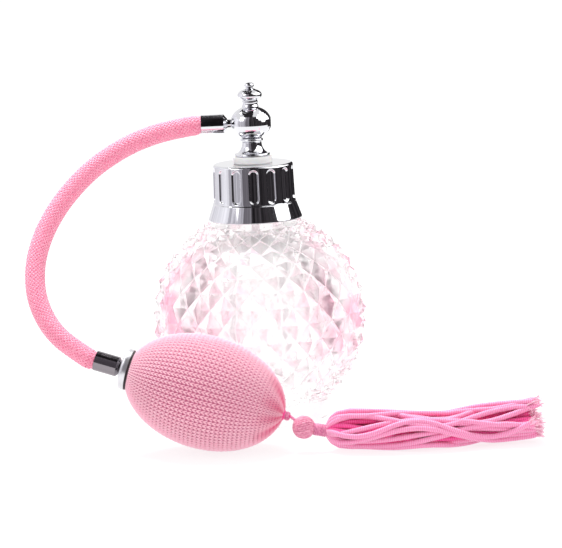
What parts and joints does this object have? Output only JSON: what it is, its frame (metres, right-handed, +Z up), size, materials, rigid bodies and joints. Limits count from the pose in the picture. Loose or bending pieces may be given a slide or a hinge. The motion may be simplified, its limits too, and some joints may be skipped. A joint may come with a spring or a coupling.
{
  "type": "perfume bottle with squeeze bulb",
  "caption": "Round cut-glass perfume bottle with a fluted screw collar, swivelling spray head, braided hose, knitted squeeze bulb and tassel.",
  "frame": {"origin": "centre of the bottle's flat foot, on the table", "axes": "+Z up along the bottle's axis; the hose leaves the spray head towards -X and the bulb lies towards -Y, with the tassel running towards +X"},
  "size_m": [0.17, 0.109, 0.1179],
  "materials": {
    "glass": "cut and polished",
    "white_plastic": "moulded",
    "chrome": "polished",
    "dark_chrome": "polished black chrome",
    "satin_metal": "satin silver",
    "steel": "turned",
    "brass": "turned",
    "clear_plastic": "extruded, nearly clear",
    "hose_rubber": "moulded",
    "bulb_rubber": "moulded",
    "dark_rubber": "moulded",
    "dark_band": "woven band",
    "pink_braid": "braided sleeve",
    "pink_knit": "knitted cover",
    "deep_pink": "wound thread",
    "hot_pink": "twisted cords"
  },
  "bodies": {
    "bottle": {"glass_bottle": "glass"},
    "seal": {"neck_gasket": "white_plastic"},
    "collar": {"collar_shell": "chrome", "collar_liner": "white_plastic"},
    "sprayer": {"swivel_washer": "white_plastic", "head_base": "chrome", "retaining_nut": "steel", "dip_tube": "clear_plastic", "siphon_tube": "brass", "head_ball": "chrome", "finial": "chrome", "air_jet": "brass", "spray_nozzle": "chrome", "hose_nipple": "chrome", "upper_ferrule": "chrome", "hose_tube": "hose_rubber", "hose_braid": "pink_braid", "lower_ferrule": "dark_chrome", "valve_housing": "chrome", "valve_seat": "brass", "intake_flap": "dark_rubber", "bulb_collar": "satin_metal", "clamp_ring": "dark_band", "rubber_bulb": "bulb_rubber", "knit_cover": "pink_knit", "gather_tie": "deep_pink"},
    "check_ball": {"valve_ball": "steel"},
    "tassel_link": {"tassel_loop": "deep_pink"},
    "tassel": {"tassel_knot": "deep_pink", "tassel_binding": "deep_pink", "tassel_skirt": "hot_pink"}
  },
  "joints": [
    {"name": "seal_lift", "type": "slide", "parent": "bottle", "child": "seal", "axis": [0, 0, 1], "range_m": [0, 0.0045]},
    {"name": "collar_turn", "type": "hinge", "parent": "seal", "child": "collar", "pos_m": [0, 0, 0.08], "axis": [0, 0, 1], "range_deg": [0, 540]},
    {"name": "head_swivel", "type": "hinge", "parent": "seal", "child": "sprayer", "pos_m": [0, 0, 0.095], "axis": [0, 0, 1], "continuous": true},
    {"name": "valve_travel", "type": "slide", "parent": "sprayer", "child": "check_ball", "axis": [-0.9397, 0.1807, 0.2904], "range_m": [0, 0.0011]},
    {"name": "tassel_swing", "type": "hinge", "parent": "sprayer", "child": "tassel_link", "pos_m": [0.00887, -0.05766, 0.01122], "axis": [0, 0, 1], "range_deg": [-50, 12]},
    {"name": "tassel_lift", "type": "hinge", "parent": "tassel_link", "child": "tassel", "pos_m": [0.01282, -0.06126, 0.0084], "axis": [0, -1, 0], "range_deg": [0, 95]}
  ],
  "couplings": [
    {"joint": "collar_turn", "follows": "seal_lift", "rad_per_m": 2094.4}
  ]
}
